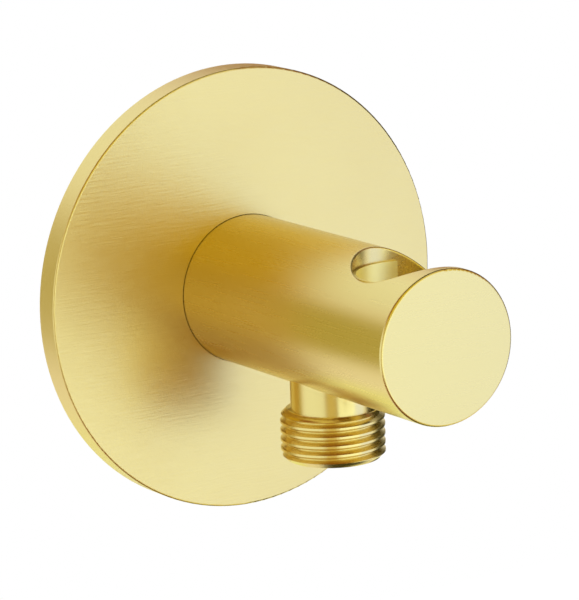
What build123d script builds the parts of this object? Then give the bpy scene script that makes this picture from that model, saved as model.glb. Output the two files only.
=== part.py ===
from build123d import *
import math
import os

os.makedirs("parts", exist_ok=True)

# Wall outlet elbow with a hand-shower holder, in millimetres.
# The wall is the plane y = 0 and the barrel runs out of it along -Y. The hose outlet points down, -Z.
# The origin is where the barrel's axis meets the wall.

# Wall flange
flange_diameter = 91.0
flange_thickness = 5.4
flange_face_thickness = 2.0
flange_rim_width = 3.0
flange_hub_wall = 5.0
flange_hub_setback = 0.5
flange_edge_radius = 0.4
flange_gap = 0.1

# Barrel
barrel_diameter = 30.6
barrel_reach = 75.0
barrel_wall_gap = 1.0
barrel_edge_radius = 0.55

# Waterway, drilled from the back and ending in the cone of the drill
waterway_diameter = 13.0
waterway_past_outlet = 6.5
drill_point_angle = 118.0

# Holder pocket in the top of the barrel, set off to the side until only a skin is left for the hose slot to open.
# Its floor lies at the level where a land is left between the pocket and the barrel's side.
pocket_diameter = 24.2
pocket_end_wall = 1.9
pocket_side_skin = 0.3
pocket_land = 0.65
pocket_edge_radius = 0.35
hose_slot_width = 15.0

# Sleeve in the pocket: straight at the top, then a cone that seats the hand shower
liner_drop = 0.25
liner_wall = 0.6
liner_gap = 0.05
liner_straight = 3.5
liner_seat_diameter = 19.0
liner_past_middle = 3.5

# Pipe thread G 1/2, drawn here at its major diameter
thread_diameter = 20.9
thread_chamfer = 1.1
thread_gap = 0.05

# Hose outlet
outlet_from_wall = 35.5
outlet_bore = 11.5
neck_diameter = 16.6
neck_showing = 3.9
neck_chamfer = 0.4
neck_gap = 0.05
port_shoulder = 1.3
outlet_thread_length = 10.0
outlet_seal_inset = 4.5

# Inlet nipple, with a hexagon socket to turn it into the wall
inlet_depth = 14.0
inlet_thread_length = 14.0
inlet_bore = 11.5
inlet_hexagon = 12.0
inlet_hexagon_depth = 8.0
inlet_waist_width = 1.6
inlet_waist_depth = 1.2

# Rubber seals, as fitted
flange_seal_section = 1.8
outlet_seal_section = 1.2
washer_thickness = 2.0
washer_gap = 0.3
seal_gap = 0.02
seal_groove_play = 0.3

# Radii and levels that several pieces share
barrel_radius = barrel_diameter / 2
pocket_radius = pocket_diameter / 2
waterway_radius = waterway_diameter / 2
neck_radius = neck_diameter / 2
thread_radius = thread_diameter / 2
port_radius = neck_radius + neck_gap
socket_radius = thread_radius + thread_gap
socket_end = barrel_wall_gap + inlet_depth
nipple_front = socket_end - washer_thickness
pocket_from_wall = barrel_reach - pocket_end_wall - pocket_radius
pocket_offset = barrel_radius - pocket_radius - pocket_side_skin
pocket_corner = pocket_offset + math.sqrt(pocket_radius**2 - (hose_slot_width / 2) ** 2)
pocket_floor = math.sqrt(barrel_radius**2 - (pocket_corner + pocket_land) ** 2)
pocket_low_rim = math.sqrt(barrel_radius**2 - (pocket_radius - pocket_offset) ** 2)
liner_top = pocket_low_rim - liner_drop
liner_end = pocket_offset + liner_past_middle
neck_top = waterway_radius + port_shoulder
outlet_seal_drop = barrel_radius - outlet_seal_inset
outlet_thread_top = barrel_radius + neck_showing
waterway_end = outlet_from_wall + waterway_past_outlet
waterway_tip = waterway_end + waterway_radius / math.tan(math.radians(drill_point_angle / 2))
flange_bore_radius = barrel_radius + flange_gap
flange_seal_middle = (flange_thickness + flange_hub_setback) / 2
outlet_end = outlet_thread_top + outlet_thread_length
pocket_axis = Axis((pocket_offset, -pocket_from_wall, 0), (0, 0, 1))
outlet_axis = Axis((0, -outlet_from_wall, 0), (0, 0, 1))

# Wall flange: a turned cover, hollow behind, with a hub that slides on the barrel
with BuildPart() as wall_flange:
    with BuildSketch(Plane.XY):
        with BuildLine():
            rim_radius = flange_diameter / 2
            recess_radius = rim_radius - flange_rim_width
            hub_radius = flange_bore_radius + flange_hub_wall
            recess_floor = flange_thickness - flange_face_thickness
            Polyline(
                (flange_bore_radius, -flange_thickness),
                (rim_radius, -flange_thickness),
                (rim_radius, 0),
                (recess_radius, 0),
                (recess_radius, -recess_floor),
                (hub_radius, -recess_floor),
                (hub_radius, -flange_hub_setback),
                (flange_bore_radius, -flange_hub_setback),
                close=True,
            )
        make_face()
    revolve(axis=Axis.Y)
    front_edges = wall_flange.edges().filter_by(GeomType.CIRCLE).group_by(Axis.Y)[0]
    fillet(front_edges.sort_by(SortBy.RADIUS)[-1], flange_edge_radius)
    with BuildSketch(Plane.XY):
        with Locations((barrel_radius, -flange_seal_middle)):
            Rectangle(
                2 * (flange_seal_section + 2 * seal_gap),
                flange_seal_section + 2 * seal_groove_play,
            )
    revolve(axis=Axis.Y, mode=Mode.SUBTRACT)

wall_flange.part.label = "wall_flange"
export_step(wall_flange.part, "parts/wall_flange.step")

# Rubber ring between the flange's hub and the barrel
with BuildPart() as flange_o_ring:
    with BuildSketch(Plane.XY):
        with Locations((barrel_radius + seal_gap + flange_seal_section / 2, -flange_seal_middle)):
            Circle(flange_seal_section / 2)
    revolve(axis=Axis.Y)

flange_o_ring.part.label = "flange_o_ring"
export_step(flange_o_ring.part, "parts/flange_o_ring.step")

# Barrel: turned outside, then bored for the waterway, the outlet and the holder
with BuildPart() as barrel_body:
    with BuildSketch(Plane.XZ.offset(barrel_wall_gap)):
        Circle(barrel_radius)
    extrude(amount=barrel_reach - barrel_wall_gap)
    fillet(barrel_body.edges().group_by(Axis.Y)[0], barrel_edge_radius)

    # Inlet socket, waterway and drill point in one turned bore
    with BuildSketch(Plane.XY):
        with BuildLine():
            Polyline(
                (0, -barrel_wall_gap),
                (socket_radius, -barrel_wall_gap),
                (socket_radius, -socket_end),
                (waterway_radius, -socket_end),
                (waterway_radius, -waterway_end),
                (0, -waterway_tip),
                close=True,
            )
        make_face()
    revolve(axis=Axis.Y, mode=Mode.SUBTRACT)

    # Outlet port from below, with a shoulder that stops the neck
    with BuildSketch(Plane.XY.offset(-neck_top)):
        with Locations((0, -outlet_from_wall)):
            Circle(port_radius)
    extrude(amount=-barrel_radius, mode=Mode.SUBTRACT)
    with BuildSketch(Plane.XY):
        with Locations((0, -outlet_from_wall)):
            Circle(outlet_bore / 2)
    extrude(amount=-neck_top, mode=Mode.SUBTRACT)

    # Round pocket down to its floor, then the hose slot right through and out of the side
    with BuildSketch(Plane.XY.offset(-pocket_floor)):
        with Locations((pocket_offset, -pocket_from_wall)):
            Circle(pocket_radius)
    extrude(amount=pocket_floor + barrel_radius, mode=Mode.SUBTRACT)
    with BuildSketch(Plane.XY):
        with Locations((pocket_offset, -pocket_from_wall)):
            Circle(hose_slot_width / 2)
            Rectangle(barrel_radius, hose_slot_width, align=(Align.MIN, Align.CENTER))
    extrude(amount=barrel_radius, both=True, mode=Mode.SUBTRACT)

    # Round off the pocket's and the slot's edges, on the barrel's skin and where pocket meets slot
    barrel_skin = barrel_body.faces().filter_by(GeomType.CYLINDER).sort_by(SortBy.AREA)[-1]
    rim_edges = barrel_skin.edges().filter_by(GeomType.LINE, reverse=True).filter_by_position(
        Axis.Y, -pocket_from_wall - pocket_radius, -pocket_from_wall + pocket_radius
    )
    slot_corners = barrel_body.edges().filter_by(Axis.Z).filter_by_position(
        Axis.Z, -pocket_floor, barrel_radius
    )
    fillet(rim_edges + slot_corners, pocket_edge_radius)

barrel_body.part.label = "barrel_body"
export_step(barrel_body.part, "parts/barrel_body.step")

# Sleeve that stands on the pocket's floor, open towards the hose slot
with BuildPart() as holder_liner:
    with BuildSketch(Plane.XZ.offset(pocket_from_wall)):
        with BuildLine():
            liner_outer = pocket_offset + pocket_radius - liner_gap
            liner_inner = liner_outer - liner_wall
            seat_inner = pocket_offset + liner_seat_diameter / 2
            Polyline(
                (liner_outer, -pocket_floor),
                (liner_outer, liner_top),
                (liner_inner, liner_top),
                (liner_inner, liner_top - liner_straight),
                (seat_inner, -pocket_floor),
                close=True,
            )
        make_face()
    revolve(axis=pocket_axis)
    with BuildSketch(Plane.XY.offset(-pocket_floor)):
        with Locations((liner_end, -pocket_from_wall)):
            Rectangle(pocket_diameter, pocket_diameter, align=(Align.MIN, Align.CENTER))
    extrude(amount=pocket_floor + liner_top, mode=Mode.SUBTRACT)

holder_liner.part.label = "holder_liner"
export_step(holder_liner.part, "parts/holder_liner.step")

# Hose outlet: a neck that enters the barrel and a thread below it, turned in one
with BuildPart() as outlet_nipple:
    with BuildSketch(Plane.XZ.offset(outlet_from_wall)):
        with BuildLine():
            Polyline(
                (outlet_bore / 2, -neck_top),
                (neck_radius - neck_chamfer, -neck_top),
                (neck_radius, -neck_top - neck_chamfer),
                (neck_radius, -outlet_thread_top),
                (thread_radius - thread_chamfer, -outlet_thread_top),
                (thread_radius, -outlet_thread_top - thread_chamfer),
                (thread_radius, -outlet_end + thread_chamfer),
                (thread_radius - thread_chamfer, -outlet_end),
                (outlet_bore / 2, -outlet_end),
                close=True,
            )
        make_face()
    revolve(axis=outlet_axis)
    with BuildSketch(Plane.XZ.offset(outlet_from_wall)):
        with Locations((port_radius, -outlet_seal_drop)):
            Rectangle(
                2 * (outlet_seal_section + 2 * seal_gap),
                outlet_seal_section + 2 * seal_groove_play,
            )
    revolve(axis=outlet_axis, mode=Mode.SUBTRACT)

outlet_nipple.part.label = "outlet_nipple"
export_step(outlet_nipple.part, "parts/outlet_nipple.step")

# Rubber ring that seals the neck in the barrel
with BuildPart() as outlet_o_ring:
    with BuildSketch(Plane.XZ.offset(outlet_from_wall)):
        with Locations((port_radius - seal_gap - outlet_seal_section / 2, -outlet_seal_drop)):
            Circle(outlet_seal_section / 2)
    revolve(axis=outlet_axis)

outlet_o_ring.part.label = "outlet_o_ring"
export_step(outlet_o_ring.part, "parts/outlet_o_ring.step")

# Inlet nipple: two threads with a plain waist between them, from the barrel's socket into the wall
with BuildPart() as inlet_nipple:
    with BuildSketch(Plane.XZ.offset(nipple_front)):
        Circle(thread_radius)
    extrude(amount=-nipple_front - inlet_thread_length)
    chamfer(inlet_nipple.edges().filter_by(GeomType.CIRCLE), thread_chamfer)
    with BuildSketch(Plane.XZ.offset(nipple_front)):
        Circle(inlet_bore / 2)
    extrude(amount=-nipple_front - inlet_thread_length, mode=Mode.SUBTRACT)
    with BuildSketch(Plane.XZ.offset(nipple_front)):
        RegularPolygon(radius=inlet_hexagon / 2, side_count=6, major_radius=False)
    extrude(amount=-inlet_hexagon_depth, mode=Mode.SUBTRACT)
    with BuildSketch(Plane.XZ):
        Circle(thread_radius)
        Circle(thread_radius - inlet_waist_depth, mode=Mode.SUBTRACT)
    extrude(amount=inlet_waist_width, mode=Mode.SUBTRACT)

inlet_nipple.part.label = "inlet_nipple"
export_step(inlet_nipple.part, "parts/inlet_nipple.step")

# Flat rubber washer at the bottom of the inlet socket
with BuildPart() as inlet_washer:
    with BuildSketch(Plane.XZ.offset(nipple_front)):
        Circle(socket_radius - washer_gap)
        Circle(waterway_radius, mode=Mode.SUBTRACT)
    extrude(amount=washer_thickness)

inlet_washer.part.label = "inlet_washer"
export_step(inlet_washer.part, "parts/inlet_washer.step")
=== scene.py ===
"""Looks of a brushed-gold wall outlet elbow with a hand-shower holder.

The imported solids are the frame. The flange, barrel, holder liner and seals keep their solids and get
finishes. The two nipples are replaced by pieces with real helical pipe threads. All lengths are metres.
"""

import logging
import math
from dataclasses import dataclass, field
from enum import Enum

import bmesh
import bpy
from mathutils import Matrix, Vector


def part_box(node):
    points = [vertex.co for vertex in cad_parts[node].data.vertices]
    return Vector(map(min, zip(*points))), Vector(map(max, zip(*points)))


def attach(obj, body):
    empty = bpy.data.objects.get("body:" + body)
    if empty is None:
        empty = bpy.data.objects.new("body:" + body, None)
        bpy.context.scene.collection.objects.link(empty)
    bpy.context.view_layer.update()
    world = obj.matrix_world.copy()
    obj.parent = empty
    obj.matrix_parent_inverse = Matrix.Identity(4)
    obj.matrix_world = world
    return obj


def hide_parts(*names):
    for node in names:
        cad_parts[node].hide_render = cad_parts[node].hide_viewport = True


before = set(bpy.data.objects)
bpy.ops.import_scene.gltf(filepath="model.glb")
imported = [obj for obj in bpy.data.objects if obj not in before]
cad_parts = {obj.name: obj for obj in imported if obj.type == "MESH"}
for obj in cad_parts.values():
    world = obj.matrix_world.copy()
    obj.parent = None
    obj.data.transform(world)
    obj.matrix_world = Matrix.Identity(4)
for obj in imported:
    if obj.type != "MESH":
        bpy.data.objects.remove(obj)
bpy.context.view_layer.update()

MM = 0.001
BODY = "root"
MERGE_DISTANCE = 0.001 * MM
CUT_TOLERANCE = 1e-7
WHITE = (1.0, 1.0, 1.0, 1.0)

log = logging.getLogger("wall_outlet_elbow")

Colour = tuple[float, float, float]
Point = tuple[float, float, float]
Socket = bpy.types.NodeSocket


class Slot(Enum):
    """Material slot names of the record for the replaced pieces. Each nipple keeps one, but its finish is
    the material it is dressed in.
    """

    OUTLET = "outlet_gold"
    BRASS = "plain_brass"


class Grain(Enum):
    """How the brushing or turning marks run: along an axis, or round it."""

    ALONG_X = "along X"
    ALONG_Y = "along Y"
    ROUND_Y = "round Y"
    ROUND_Z = "round Z"


class NodeGraph:
    """A thin helper that adds and joins shader nodes in one node tree."""

    def __init__(self, tree: bpy.types.NodeTree) -> None:
        """Keep the tree that nodes are added to."""
        self.tree = tree

    @classmethod
    def emptied(cls, owner: bpy.types.Material | bpy.types.World) -> "NodeGraph":
        """Clear the nodes of a material or a world.

        Args:
            owner: The material or world.

        Returns:
            The helper for its empty tree.
        """
        owner.use_nodes = True
        owner.node_tree.nodes.clear()
        return cls(owner.node_tree)

    def add(self, kind: str, **settings: object) -> bpy.types.Node:
        """Add a node and set its properties.

        Args:
            kind: Blender's type name of the node.
            settings: Properties of the node, by name.

        Returns:
            The new node.
        """
        node = self.tree.nodes.new(kind)
        for name, value in settings.items():
            setattr(node, name, value)
        return node

    def put(self, node: bpy.types.Node, socket: str | int, source: object) -> None:
        """Join an output to a node's input, or set the input to a plain value.

        Args:
            node: The node whose input is given.
            socket: Name or number of the input.
            source: Output of another node, or a plain value.
        """
        if isinstance(source, Socket):
            self.tree.links.new(source, node.inputs[socket])
        else:
            node.inputs[socket].default_value = source

    def math(self, operation: str, first: object, second: object = 0.0) -> Socket:
        """Add a Math node.

        Args:
            operation: The node's operation.
            first: First value or output.
            second: Second value or output.

        Returns:
            The node's output.
        """
        node = self.add("ShaderNodeMath", operation=operation)
        self.put(node, 0, first)
        self.put(node, 1, second)
        return node.outputs[0]

    def split(self, vector: Socket) -> list[Socket]:
        """Take a vector apart.

        Args:
            vector: The vector's output.

        Returns:
            Its X, Y and Z outputs.
        """
        node = self.add("ShaderNodeSeparateXYZ")
        self.put(node, "Vector", vector)
        return [node.outputs[axis] for axis in "XYZ"]

    def join(self, x: object, y: object, z: object) -> Socket:
        """Put a vector together.

        Args:
            x: First value or output.
            y: Second value or output.
            z: Third value or output.

        Returns:
            The vector's output.
        """
        node = self.add("ShaderNodeCombineXYZ")
        for axis, part in zip("XYZ", (x, y, z)):
            self.put(node, axis, part)
        return node.outputs["Vector"]

    def noise(self, place: Socket, scale: float, detail: float, roughness: float = 0.5) -> Socket:
        """Add a Noise Texture node.

        Args:
            place: Coordinates that the noise is read at.
            scale: Number of waves in one unit of the coordinates.
            detail: Number of finer layers.
            roughness: How strong the finer layers are.

        Returns:
            The noise's value.
        """
        node = self.add("ShaderNodeTexNoise")
        self.put(node, "Vector", place)
        self.put(node, "Scale", scale)
        self.put(node, "Detail", detail)
        self.put(node, "Roughness", roughness)
        return node.outputs["Fac"]

    def mix(self, kind: str, factor: Socket, first: object, second: object) -> Socket:
        """Add a Mix node.

        Args:
            kind: The node's data type.
            factor: Share of the second input.
            first: Value or output at a factor of 0.
            second: Value or output at a factor of 1.

        Returns:
            The mixed output.
        """
        node = self.add("ShaderNodeMix", data_type=kind)
        self.put(node, "Factor", factor)
        self.put(node, "A", first)
        self.put(node, "B", second)
        return node.outputs["Result"]

    def mix_shaders(self, factor: Socket, first: Socket, second: Socket) -> Socket:
        """Add a Mix Shader node.

        Args:
            factor: Share of the second shader.
            first: Shader at a factor of 0.
            second: Shader at a factor of 1.

        Returns:
            The mixed shader.
        """
        node = self.add("ShaderNodeMixShader")
        self.put(node, 0, factor)
        self.put(node, 1, first)
        self.put(node, 2, second)
        return node.outputs["Shader"]

    def bump(self, height: Socket, distance: float) -> Socket:
        """Add a Bump node.

        Args:
            height: Height between 0 and 1.
            distance: Depth of the full height.

        Returns:
            The tilted normal.
        """
        node = self.add("ShaderNodeBump")
        self.put(node, "Distance", distance)
        self.put(node, "Height", height)
        return node.outputs["Normal"]

    def end(self, kind: str, surface: Socket) -> None:
        """Add the output node of the given kind and join the surface to it."""
        self.put(self.add(kind), "Surface", surface)


@dataclass(frozen=True)
class BrushedMarks:
    """The shared shader group that draws long fine marks along the X axis of its place."""

    name: str = "brushed_marks"
    wander_size: float = 9 * MM
    wander_detail: float = 1.0
    mark_detail: float = 4.0
    mark_roughness: float = 0.6
    cloud_size: float = 22 * MM
    cloud_detail: float = 2.0

    def build(self) -> bpy.types.NodeTree:
        """Build the group.

        Returns:
            A shader node group. Its outputs are the height of the marks and a slow cloud.
        """
        tree = bpy.data.node_groups.new(self.name, "ShaderNodeTree")
        tree.interface.new_socket("Place", in_out="INPUT", socket_type="NodeSocketVector")
        for name in ("Length", "Width", "Wander"):
            tree.interface.new_socket(name, in_out="INPUT", socket_type="NodeSocketFloat")
        for name in ("Height", "Cloud"):
            tree.interface.new_socket(name, in_out="OUTPUT", socket_type="NodeSocketFloat")

        graph = NodeGraph(tree)
        given = graph.add("NodeGroupInput").outputs
        result = graph.add("NodeGroupOutput")
        x, y, z = graph.split(given["Place"])

        # A slow sideways wander bends the marks a little
        sway = graph.noise(given["Place"], 1 / self.wander_size, self.wander_detail)
        shift = graph.math("MULTIPLY", graph.math("SUBTRACT", sway, 0.5), given["Wander"])

        # Stretched noise: long along X, narrow along Y and Z
        stretched = graph.join(
            graph.math("DIVIDE", x, given["Length"]),
            graph.math("DIVIDE", y, given["Width"]),
            graph.math("DIVIDE", graph.math("ADD", z, shift), given["Width"]),
        )
        graph.put(result, "Height", graph.noise(stretched, 1.0, self.mark_detail, self.mark_roughness))
        graph.put(result, "Cloud", graph.noise(given["Place"], 1 / self.cloud_size, self.cloud_detail))
        return tree


@dataclass(frozen=True)
class MetalFinish:
    """A metal with brushing or turning marks.

    The marks tilt the surface a little, change its gloss and tint it faintly. A gloss stretch draws
    reflections out up and down, across marks that run level.
    """

    name: str
    colour: Colour
    roughness: float
    grain: Grain
    centre: Point = (0.0, 0.0, 0.0)
    mark_length: float = 12 * MM
    mark_width: float = 0.25 * MM
    wander: float = 0.8 * MM
    relief: float = 0.0015 * MM
    gloss_spread: float = 0.10
    tint_spread: float = 0.05
    gloss_stretch: float = 0.0
    end_face_limit: float = 0.7
    low_height: float = 0.25
    high_height: float = 0.75

    def make(self, marks: bpy.types.NodeTree) -> bpy.types.Material:
        """Build the material.

        Args:
            marks: The shared group of brushed marks.

        Returns:
            The new material.
        """
        material = bpy.data.materials.new(self.name)
        graph = NodeGraph.emptied(material)
        group = graph.add("ShaderNodeGroup", node_tree=marks)
        graph.put(group, "Place", self.place(graph))
        graph.put(group, "Length", self.mark_length)
        graph.put(group, "Width", self.mark_width)
        graph.put(group, "Wander", self.wander)
        height = group.outputs["Height"]

        shader = graph.add("ShaderNodeBsdfPrincipled")
        graph.put(shader, "Metallic", 1.0)
        graph.put(shader, "Base Color", self.tint(graph, height, group.outputs["Cloud"]))
        graph.put(shader, "Roughness", self.gloss(graph, height))
        graph.put(shader, "Normal", graph.bump(height, self.relief))
        if self.gloss_stretch:
            graph.put(shader, "Anisotropic", self.gloss_stretch)
            graph.put(shader, "Tangent", graph.join(0.0, 0.0, 1.0))
        graph.end("ShaderNodeOutputMaterial", shader.outputs["BSDF"])
        return material

    def place(self, graph: NodeGraph) -> Socket:
        """Turn Object coordinates so that marks run along X.

        Args:
            graph: The material's nodes.

        Returns:
            The turned coordinates.
        """
        offset = graph.add("ShaderNodeVectorMath", operation="SUBTRACT")
        graph.put(offset, 0, graph.add("ShaderNodeTexCoord").outputs["Object"])
        graph.put(offset, 1, self.centre)
        x, y, z = graph.split(offset.outputs["Vector"])
        if self.grain is Grain.ROUND_Y:
            return self.wrapped(graph, x, z, y)
        if self.grain is Grain.ROUND_Z:
            return self.wrapped(graph, x, y, z)
        level = graph.join(x, y, z)
        if self.grain is Grain.ALONG_X:
            return level

        # A bar brushed along its length is brushed across on its end face
        facing = graph.split(graph.add("ShaderNodeNewGeometry").outputs["Normal"])
        on_end = graph.math("GREATER_THAN", graph.math("ABSOLUTE", facing[1]), self.end_face_limit)
        return graph.mix("VECTOR", on_end, graph.join(y, x, z), level)

    def wrapped(self, graph: NodeGraph, side: Socket, up: Socket, axial: Socket) -> Socket:
        """Wrap the marks round an axis.

        Args:
            graph: The material's nodes.
            side: Coordinate across the axis.
            up: The other coordinate across the axis.
            axial: Coordinate along the axis.

        Returns:
            Coordinates whose X runs round the axis, Y outwards and Z along it.
        """
        turned = graph.math("MULTIPLY", graph.math("ARCTAN2", up, side), self.mark_length)
        squares = graph.math("ADD", graph.math("POWER", side, 2.0), graph.math("POWER", up, 2.0))
        return graph.join(turned, graph.math("SQRT", squares), axial)

    def tint(self, graph: NodeGraph, height: Socket, cloud: Socket) -> Socket:
        """Colour that is a little deeper in the marks and in slow clouds.

        Args:
            graph: The material's nodes.
            height: Height of the marks.
            cloud: The slow cloud.

        Returns:
            The colour output.
        """
        both = graph.math("MULTIPLY", graph.math("ADD", height, cloud), 0.5)
        deep = [part * (1 - self.tint_spread * (1 + step)) for step, part in enumerate(self.colour)]
        pale = [min(1.0, part * (1 + self.tint_spread)) for part in self.colour]
        return graph.mix("RGBA", both, (*deep, 1.0), (*pale, 1.0))

    def gloss(self, graph: NodeGraph, height: Socket) -> Socket:
        """Roughness that changes from mark to mark.

        Args:
            graph: The material's nodes.
            height: Height of the marks.

        Returns:
            The roughness output.
        """
        spread = graph.add("ShaderNodeMapRange")
        graph.put(spread, "Value", height)
        graph.put(spread, "From Min", self.low_height)
        graph.put(spread, "From Max", self.high_height)
        graph.put(spread, "To Min", self.roughness - self.gloss_spread / 2)
        graph.put(spread, "To Max", self.roughness + self.gloss_spread / 2)
        return spread.outputs["Result"]


@dataclass(frozen=True)
class RubberFinish:
    """Matt black rubber with a fine moulded skin."""

    name: str = "matt_rubber"
    dark: Colour = (0.020, 0.020, 0.021)
    pale: Colour = (0.045, 0.044, 0.043)
    roughness: float = 0.65
    skin_size: float = 0.15 * MM
    skin_detail: float = 3.0
    skin_relief: float = 0.02 * MM

    def make(self) -> bpy.types.Material:
        """Build the material.

        Returns:
            The new material.
        """
        material = bpy.data.materials.new(self.name)
        graph = NodeGraph.emptied(material)
        here = graph.add("ShaderNodeTexCoord").outputs["Object"]
        skin = graph.noise(here, 1 / self.skin_size, self.skin_detail)
        shader = graph.add("ShaderNodeBsdfPrincipled")
        graph.put(shader, "Roughness", self.roughness)
        graph.put(shader, "Base Color", graph.mix("RGBA", skin, (*self.dark, 1.0), (*self.pale, 1.0)))
        graph.put(shader, "Normal", graph.bump(skin, self.skin_relief))
        graph.end("ShaderNodeOutputMaterial", shader.outputs["BSDF"])
        return material


def linked(name: str, mesh: bmesh.types.BMesh) -> bpy.types.Object:
    """Turn a bmesh into an object in the scene, and free the bmesh.

    Args:
        name: Name of the object and its mesh.
        mesh: The finished bmesh.

    Returns:
        The new object.
    """
    data = bpy.data.meshes.new(name)
    mesh.to_mesh(data)
    mesh.free()
    piece = bpy.data.objects.new(name, data)
    bpy.context.scene.collection.objects.link(piece)
    return piece


@dataclass
class PipeThread:
    """A right-hand pipe thread, G 1/2 by default, with narrow flats turned on its crests."""

    blank_radius: float = 10.45 * MM
    pitch: float = 1.814 * MM
    half_angle: float = math.radians(27.5)
    crest_flat: float = 0.44 * MM
    root_rounding: float = 0.195 * MM
    overlap: float = 0.15 * MM
    steps_a_turn: int = 96
    arc_steps: int = 6

    def profile(self) -> list[Point]:
        """One pitch of the thread's section, from root to root, in the XZ plane.

        The crest stands outside the blank by the overlap, so that the blank turns it down to a flat.

        Returns:
            Points whose X is the radius and whose Z is the height from the crest.
        """
        slope = math.tan(self.half_angle)
        apex = self.blank_radius + self.crest_flat / 2 / slope
        outside = self.blank_radius + self.overlap
        bottom = apex - self.pitch / 2 / slope
        root_centre = bottom + self.root_rounding / math.sin(self.half_angle)
        reach = math.pi / 2 - self.half_angle
        half = [(outside, 0.0), (outside, (apex - outside) * slope)]
        for step in range(self.arc_steps, -1, -1):
            turn = reach * step / self.arc_steps
            offset = self.root_rounding * math.sin(turn)
            half.append((root_centre - self.root_rounding * math.cos(turn), self.pitch / 2 - offset))
        lower = [(radius, 0.0, -height) for radius, height in reversed(half[1:])]
        return lower + [(radius, 0.0, height) for radius, height in half]

    def rod(self, name: str, low: float, high: float, crest: float) -> bpy.types.Object:
        """Make a solid threaded rod along Z.

        Args:
            name: Name of the object.
            low: Level of its lower end.
            high: Level of its upper end.
            crest: Level of a crest on the +X side.

        Returns:
            The rod, linked to the scene.
        """
        below = math.ceil((crest - low) / self.pitch) + 1
        turns = below + math.ceil((high - crest) / self.pitch) + 1
        mesh = bmesh.new()
        ends = [mesh.verts.new(point) for point in self.profile()]
        edges = [mesh.edges.new(pair) for pair in zip(ends, ends[1:])]
        bmesh.ops.translate(mesh, verts=mesh.verts[:], vec=(0, 0, crest - below * self.pitch))
        bmesh.ops.spin(
            mesh,
            geom=ends + edges,
            cent=(0, 0, 0),
            axis=(0, 0, 1),
            dvec=(0, 0, self.pitch / self.steps_a_turn),
            angle=math.tau,
            steps=self.steps_a_turn,
            use_merge=False,
        )
        one_turn = mesh.verts[:] + mesh.edges[:] + mesh.faces[:]
        for turn in range(1, turns):
            copy = bmesh.ops.duplicate(mesh, geom=one_turn)["geom"]
            points = [item for item in copy if isinstance(item, bmesh.types.BMVert)]
            bmesh.ops.translate(mesh, verts=points, vec=(0, 0, turn * self.pitch))
        bmesh.ops.remove_doubles(mesh, verts=mesh.verts[:], dist=MERGE_DISTANCE)
        for level, outward in ((low, -1), (high, 1)):
            cut = bmesh.ops.bisect_plane(
                mesh,
                geom=mesh.verts[:] + mesh.edges[:] + mesh.faces[:],
                dist=CUT_TOLERANCE,
                plane_co=(0, 0, level),
                plane_no=(0, 0, outward),
                clear_outer=True,
            )
            rim = [item for item in cut["geom_cut"] if isinstance(item, bmesh.types.BMEdge)]
            bmesh.ops.edgeloop_fill(mesh, edges=rim)
        bmesh.ops.recalc_face_normals(mesh, faces=mesh.faces[:])
        return linked(name, mesh)


@dataclass
class ThreadedNipple:
    """A turned nipple with a helical thread cut into the plain cylinder of its solid."""

    name: str
    node: str
    slot: Slot
    crest: float
    turn: Matrix = field(default_factory=lambda: Matrix.Identity(4))
    thread: PipeThread = field(default_factory=PipeThread)
    sharp_angle: float = math.radians(12)
    spare: float = 1.0 * MM

    def build(self) -> bpy.types.Object:
        """Cut the thread and put the piece in the node's place.

        Returns:
            The threaded piece.
        """
        rod = self.placed_rod()
        blank = bmesh.new()
        blank.from_mesh(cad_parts[self.node].data)
        bmesh.ops.remove_doubles(blank, verts=blank.verts[:], dist=MERGE_DISTANCE)
        piece = linked(self.name, blank)
        piece.data.materials.clear()
        cut = piece.modifiers.new("thread", "BOOLEAN")
        cut.operation = "INTERSECT"
        cut.solver = "EXACT"
        cut.object = rod
        bpy.context.view_layer.update()
        cut_piece = piece.evaluated_get(bpy.context.evaluated_depsgraph_get())
        finished = bpy.data.meshes.new_from_object(cut_piece)
        finished.name = self.name
        piece.modifiers.clear()
        piece.data = finished
        bpy.data.objects.remove(rod)
        finished.shade_smooth()
        finished.set_sharp_from_angle(angle=self.sharp_angle)
        shading = piece.modifiers.new("even_shading", "WEIGHTED_NORMAL")
        shading.mode = "FACE_AREA"
        shading.keep_sharp = True
        return piece

    def placed_rod(self) -> bpy.types.Object:
        """Make the threaded rod and move it onto the node's axis.

        Returns:
            The rod, a little longer than the node at both ends.
        """
        low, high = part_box(self.node)
        middle = (low + high) / 2
        along = self.turn.to_3x3() @ Vector((0, 0, 1))
        bottom, top = sorted((low.dot(along), high.dot(along)))
        rod = self.thread.rod(self.name + "_rod", bottom - self.spare, top + self.spare, self.crest)
        across = middle - along * middle.dot(along)
        rod.data.transform(Matrix.Translation(across) @ self.turn)
        return rod

    def dress(self, piece: bpy.types.Object, material: bpy.types.Material) -> None:
        """Give the piece its finish, hang it on the body and hide the solid that it stands in for.

        Args:
            piece: The threaded piece.
            material: Its finish.
        """
        piece.data.materials.clear()
        piece.data.materials.append(material)
        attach(piece, BODY)
        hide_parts(self.node)
        log.info("%s replaces %s, in %s", self.name, self.node, material.name)


@dataclass
class TurnedParts:
    """Pieces that keep their solids: flange, barrel, liner and seals."""

    finishes: dict[str, bpy.types.Material]

    def dress(self) -> None:
        """Give each kept solid its finish."""
        for node, material in self.finishes.items():
            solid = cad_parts[node]
            for holder in solid.material_slots:
                holder.material = material
            log.info("%s keeps its solid, in %s", node, material.name)


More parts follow.
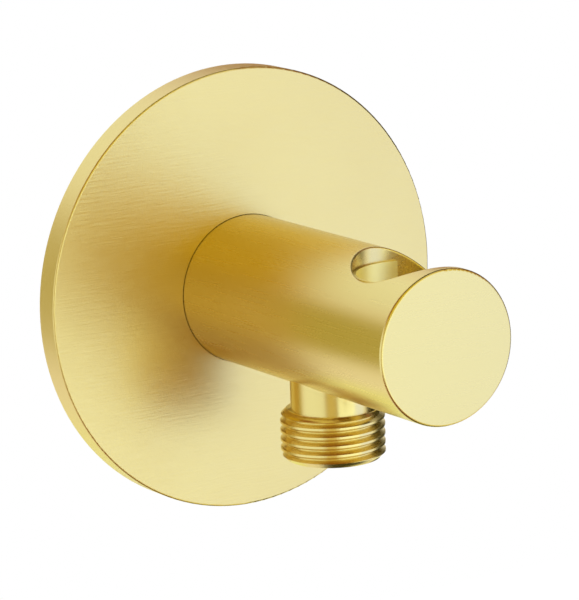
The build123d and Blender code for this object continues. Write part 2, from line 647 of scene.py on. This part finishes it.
@dataclass(frozen=True)
class Card:
    """A flat studio card with feathered edges that only reflections see.

    Angles are degrees, seen from the object. Azimuth 0 lies in front, towards -Y, and 90 to the right,
    towards +X.
    """

    name: str
    azimuth: float
    elevation: float
    width: float
    height: float
    colour: Colour
    feather: float = 0.25
    distance: float = 0.9

    def build(self, middle: Vector) -> bpy.types.Object:
        """Make the card, facing the object.

        Args:
            middle: The point that the card faces.

        Returns:
            The card.
        """
        azimuth, elevation = math.radians(self.azimuth), math.radians(self.elevation)
        level = math.cos(elevation)
        away = Vector((math.sin(azimuth) * level, -math.cos(azimuth) * level, math.sin(elevation)))
        half_width, half_height = (
            self.distance * math.tan(math.radians(angle) / 2) for angle in (self.width, self.height)
        )
        mesh = bmesh.new()
        mesh.loops.layers.uv.new("card")
        bmesh.ops.create_grid(mesh, x_segments=1, y_segments=1, size=1.0, calc_uvs=True)
        bmesh.ops.scale(mesh, verts=mesh.verts[:], vec=(half_width, half_height, 1.0))
        facing = away.to_track_quat("Z", "Y").to_matrix().to_4x4()
        place = Matrix.Translation(middle + away * self.distance) @ facing
        bmesh.ops.transform(mesh, matrix=place, verts=mesh.verts[:])
        card = linked(self.name, mesh)
        card.data.materials.append(self.glow())
        card.visible_camera = False
        card.visible_diffuse = False
        card.visible_shadow = False
        card.visible_transmission = False
        return card

    def glow(self) -> bpy.types.Material:
        """Build the card's material: its colour, fading out towards the edges.

        Returns:
            The new material.
        """
        material = bpy.data.materials.new(self.name)
        graph = NodeGraph.emptied(material)
        across, up, _ = graph.split(graph.add("ShaderNodeTexCoord").outputs["UV"])
        inside = graph.math("MULTIPLY", self.fade(graph, across), self.fade(graph, up))
        clear = graph.add("ShaderNodeBsdfTransparent").outputs["BSDF"]
        light = graph.add("ShaderNodeEmission")
        graph.put(light, "Color", (*self.colour, 1.0))
        graph.end("ShaderNodeOutputMaterial", graph.mix_shaders(inside, clear, light.outputs["Emission"]))
        return material

    def fade(self, graph: NodeGraph, along: Socket) -> Socket:
        """Mask that rises from 0 at two opposite edges to 1 inside the feather.

        Args:
            graph: The material's nodes.
            along: Place between the two edges, from 0 to 1.

        Returns:
            The mask.
        """
        off_centre = graph.math("ABSOLUTE", graph.math("SUBTRACT", along, 0.5))
        rise = graph.add("ShaderNodeMapRange", interpolation_type="SMOOTHSTEP")
        graph.put(rise, "Value", graph.math("SUBTRACT", 0.5, off_centre))
        graph.put(rise, "From Max", self.feather)
        return rise.outputs["Result"]


# Colours of the studio cards, from bright to dark
COOL_WHITE = (1.36, 1.57, 1.66)
ICE_WHITE = (1.03, 1.22, 2.00)
SOFT_WHITE = (1.06, 1.18, 1.26)
STRAW = (1.02, 1.10, 0.55)
WHEAT = (0.98, 0.91, 0.30)
HONEY = (0.87, 0.73, 0.08)
AMBER = (0.74, 0.62, 0.26)
OCHRE = (0.50, 0.44, 0.10)
RUSSET = (0.31, 0.10, 0.01)
TAN = (0.22, 0.11, 0.01)
UMBER = (0.045, 0.040, 0.008)


@dataclass
class Studio:
    """Pale floor, white surroundings, one soft lamp, and white and tinted cards for the metal to reflect."""

    middle: Vector = field(default_factory=lambda: Vector((0.0, -0.035, 0.0)))
    floor_level: float = -1.20
    floor_size: float = 6.0
    floor_colour: Colour = (0.92, 0.92, 0.92)
    floor_roughness: float = 0.9
    ambient: float = 0.75
    lamp_strength: float = 1.3
    lamp_angle: float = math.radians(30)
    lamp_tilt: float = math.radians(30)
    lamp_turn: float = math.radians(-25)
    cards: tuple[Card, ...] = (
        Card("softbox", 18, -9, 92, 47, COOL_WHITE, 0.12),
        Card("tall_softbox", 40, -10, 44, 76, ICE_WHITE, 0.15),
        Card("softbox_low_wing", 42, -50, 50, 36, WHEAT, 0.2),
        Card("softbox_high_wing", 40, 30, 46, 32, WHEAT, 0.2),
        Card("left_softbox", -84, -8, 74, 52, SOFT_WHITE, 0.15),
        Card("camera_gap_card", -36, -8, 34, 50, AMBER, 0.2),
        Card("camera_high_card", -26, 38, 100, 50, HONEY, 0.2),
        Card("front_low_card", 0, -53, 110, 45, RUSSET, 0.15),
        Card("left_high_card", -104, 48, 70, 48, RUSSET, 0.2),
        Card("top_card", 30, 80, 100, 50, UMBER, 0.2),
        Card("right_high_card", 66, 36, 40, 50, RUSSET, 0.2),
        Card("right_card", 100, 5, 70, 80, UMBER, 0.2),
        Card("right_back_card", 152, -1, 36, 62, RUSSET, 0.3),
        Card("left_back_card", -140, -2, 40, 56, OCHRE, 0.3),
        Card("back_low_card", 158, -42, 64, 36, STRAW, 0.25),
        Card("back_high_card", -169, 35, 48, 44, SOFT_WHITE, 0.25),
        Card("low_card", 40, -82, 90, 50, UMBER, 0.2),
        Card("camera_wall", -38, 4, 96, 116, TAN, 0.12, 1.1),
    )

    def build(self) -> None:
        """Set up the world, the floor, the lamp and the cards."""
        self.world()
        self.floor()
        self.lamp()
        for card in self.cards:
            card.build(self.middle)
        bpy.context.scene.view_settings.view_transform = "Standard"
        log.info("studio with a floor, a lamp and %d cards", len(self.cards))

    def world(self) -> None:
        """White for what the camera, metal and glass see, and plain ambient light for the rest."""
        world = bpy.data.worlds.new("studio")
        bpy.context.scene.world = world
        graph = NodeGraph.emptied(world)
        path = graph.add("ShaderNodeLightPath").outputs
        seen = graph.math("MAXIMUM", path["Is Camera Ray"], path["Is Glossy Ray"])
        seen = graph.math("MAXIMUM", seen, path["Is Transmission Ray"])
        light = graph.add("ShaderNodeBackground")
        graph.put(light, "Color", WHITE)
        graph.put(light, "Strength", self.ambient)
        white = graph.add("ShaderNodeBackground")
        graph.put(white, "Color", WHITE)
        both = graph.mix_shaders(seen, light.outputs["Background"], white.outputs["Background"])
        graph.end("ShaderNodeOutputWorld", both)

    def floor(self) -> None:
        """Lay a plain pale floor below the object."""
        mesh = bmesh.new()
        bmesh.ops.create_grid(mesh, x_segments=1, y_segments=1, size=self.floor_size / 2)
        bmesh.ops.translate(mesh, verts=mesh.verts[:], vec=(0, 0, self.floor_level))
        floor = linked("floor", mesh)
        material = bpy.data.materials.new("pale_floor")
        graph = NodeGraph.emptied(material)
        shader = graph.add("ShaderNodeBsdfPrincipled")
        graph.put(shader, "Base Color", (*self.floor_colour, 1.0))
        graph.put(shader, "Roughness", self.floor_roughness)
        graph.put(shader, "Specular IOR Level", 0.0)
        graph.end("ShaderNodeOutputMaterial", shader.outputs["BSDF"])
        floor.data.materials.append(material)

    def lamp(self) -> None:
        """Hang one wide soft lamp above, at the left of the camera."""
        data = bpy.data.lights.new("soft_lamp", "SUN")
        data.energy = self.lamp_strength
        data.angle = self.lamp_angle
        lamp = bpy.data.objects.new("soft_lamp", data)
        lamp.rotation_euler = (self.lamp_tilt, 0, self.lamp_turn)
        lamp.visible_glossy = False
        bpy.context.scene.collection.objects.link(lamp)


@dataclass
class PhotoCamera:
    """The photograph's viewpoint. Angles are degrees; azimuth 0 looks along +Y."""

    azimuth: float = -33.159
    elevation: float = 12.481
    roll: float = -1.699
    distance: float = 726.67 * MM
    target: Point = (-5.718 * MM, -29.88 * MM, 2.503 * MM)
    image_height: int = 600
    focal_pixels: float = 3675.9
    sensor: float = 36.0
    near_clip: float = 10 * MM

    def build(self) -> bpy.types.Object:
        """Make the camera and set it as the scene's.

        Returns:
            The camera.
        """
        turn, lift, roll = (math.radians(angle) for angle in (self.azimuth, self.elevation, self.roll))
        back = Vector((math.sin(turn) * math.cos(lift), -math.cos(turn) * math.cos(lift), math.sin(lift)))
        right = Vector((math.cos(turn), math.sin(turn), 0.0))
        up = back.cross(right)
        data = bpy.data.cameras.new("photo_camera")
        data.sensor_fit = "AUTO"
        data.sensor_width = self.sensor
        data.lens = self.focal_pixels * self.sensor / self.image_height
        data.clip_start = self.near_clip
        camera = bpy.data.objects.new("photo_camera", data)
        level = Matrix((right, up, back)).transposed()
        facing = (level @ Matrix.Rotation(roll, 3, "Z")).to_4x4()
        camera.matrix_world = Matrix.Translation(Vector(self.target) + back * self.distance) @ facing
        bpy.context.scene.collection.objects.link(camera)
        bpy.context.scene.camera = camera
        return camera


GOLD = (0.78, 0.62, 0.23)
PALE_GOLD = (0.93, 0.80, 0.27)
BRASS_YELLOW = (0.80, 0.64, 0.30)

FLANGE_GOLD = MetalFinish(
    "flange_brushed_gold",
    GOLD,
    0.33,
    Grain.ALONG_X,
    mark_length=6 * MM,
    mark_width=0.45 * MM,
    wander=0.6 * MM,
    relief=0.038 * MM,
    gloss_stretch=0.4,
)
BARREL_GOLD = MetalFinish(
    "barrel_brushed_gold",
    GOLD,
    0.28,
    Grain.ALONG_Y,
    mark_length=20 * MM,
    mark_width=0.4 * MM,
    wander=0.2 * MM,
    relief=0.0008 * MM,
    gloss_spread=0.03,
    tint_spread=0.015,
)
LINER_GOLD = MetalFinish(
    "liner_satin_gold",
    PALE_GOLD,
    0.42,
    Grain.ROUND_Z,
    centre=(2.9 * MM, -61 * MM, 0),
)
OUTLET_GOLD = MetalFinish(
    "outlet_turned_gold",
    GOLD,
    0.25,
    Grain.ROUND_Z,
    centre=(0, -35.5 * MM, 0),
    relief=0.0008 * MM,
    gloss_spread=0.05,
    tint_spread=0.03,
)
BARE_BRASS = MetalFinish("bare_turned_brass", BRASS_YELLOW, 0.30, Grain.ROUND_Y)

OUTLET_CREST = -20.53 * MM
INLET_CREST = 12.0 * MM
INTO_WALL = Matrix.Rotation(math.radians(-90), 4, "X")


def main() -> None:
    """Build the pieces, the finishes, the studio and the camera."""
    logging.basicConfig(level=logging.INFO, format="%(name)s: %(message)s")
    marks = BrushedMarks().build()
    rubber = RubberFinish().make()
    TurnedParts(
        {
            "wall_flange": FLANGE_GOLD.make(marks),
            "barrel_body": BARREL_GOLD.make(marks),
            "holder_liner": LINER_GOLD.make(marks),
            "flange_o_ring": rubber,
            "outlet_o_ring": rubber,
            "inlet_washer": rubber,
        }
    ).dress()

    outlet = ThreadedNipple("threaded_outlet", "outlet_nipple", Slot.OUTLET, OUTLET_CREST)
    outlet.dress(outlet.build(), OUTLET_GOLD.make(marks))
    inlet = ThreadedNipple("threaded_inlet", "inlet_nipple", Slot.BRASS, INLET_CREST, INTO_WALL)
    inlet.dress(inlet.build(), BARE_BRASS.make(marks))

    Studio().build()
    PhotoCamera().build()


if __name__ == "__main__":
    main()
